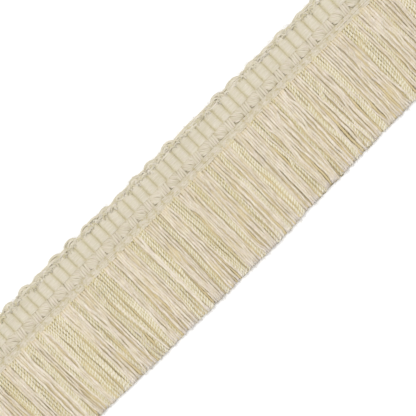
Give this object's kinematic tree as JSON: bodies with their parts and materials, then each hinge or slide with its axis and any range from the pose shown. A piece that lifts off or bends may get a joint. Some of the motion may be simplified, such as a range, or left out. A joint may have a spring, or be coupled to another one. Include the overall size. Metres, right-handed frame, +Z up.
{
  "type": "brush fringe trim",
  "caption": "Straight cut length of woven brush fringe trim: a ribbed heading with a looped edge and a dense, even fringe of cut yarns.",
  "frame": {"origin": "on the surface that the trim lies on, under the middle of its length and width", "axes": "+X along the trim, +Y across it towards the heading's looped edge, +Z up out of its face"},
  "size_m": [0.1984, 0.0449, 0.0023],
  "materials": {
    "heading_yarn": "matt cream cotton, woven close over upright ribs",
    "fringe_yarn": "cream cotton yarns, some soft and matt, some hard-twisted with a slight gloss"
  },
  "bodies": {
    "root": {"heading": "heading_yarn", "fringe_lower": "fringe_yarn", "fringe_upper": "fringe_yarn"}
  },
  "joints": []
}
